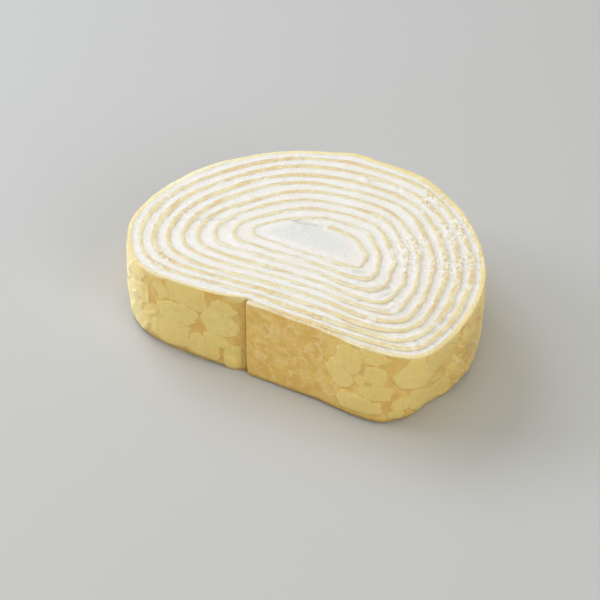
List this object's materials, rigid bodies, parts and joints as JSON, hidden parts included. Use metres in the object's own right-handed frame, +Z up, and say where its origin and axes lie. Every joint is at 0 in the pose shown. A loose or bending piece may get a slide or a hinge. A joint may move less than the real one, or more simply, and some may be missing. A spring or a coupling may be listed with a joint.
{
  "type": "crepe roll cake slice",
  "caption": "Thick D-shaped slice of a rolled crepe cake, lying on its cut face: one thin crepe coiled with white cream round a cream heart.",
  "frame": {"origin": "middle of the slice's bounding box, on the surface that it lies on", "axes": "+Z up, out of the shown cut face; +X along the flat side of the D; the flat side faces -Y"},
  "size_m": [0.0988, 0.0724, 0.026],
  "materials": {
    "crepe": "soft baked batter, pale yellow blisters in a light brown net",
    "cream": "matte whipped cream"
  },
  "bodies": {
    "root": {"crepe": "crepe", "cream": "cream"}
  },
  "joints": []
}
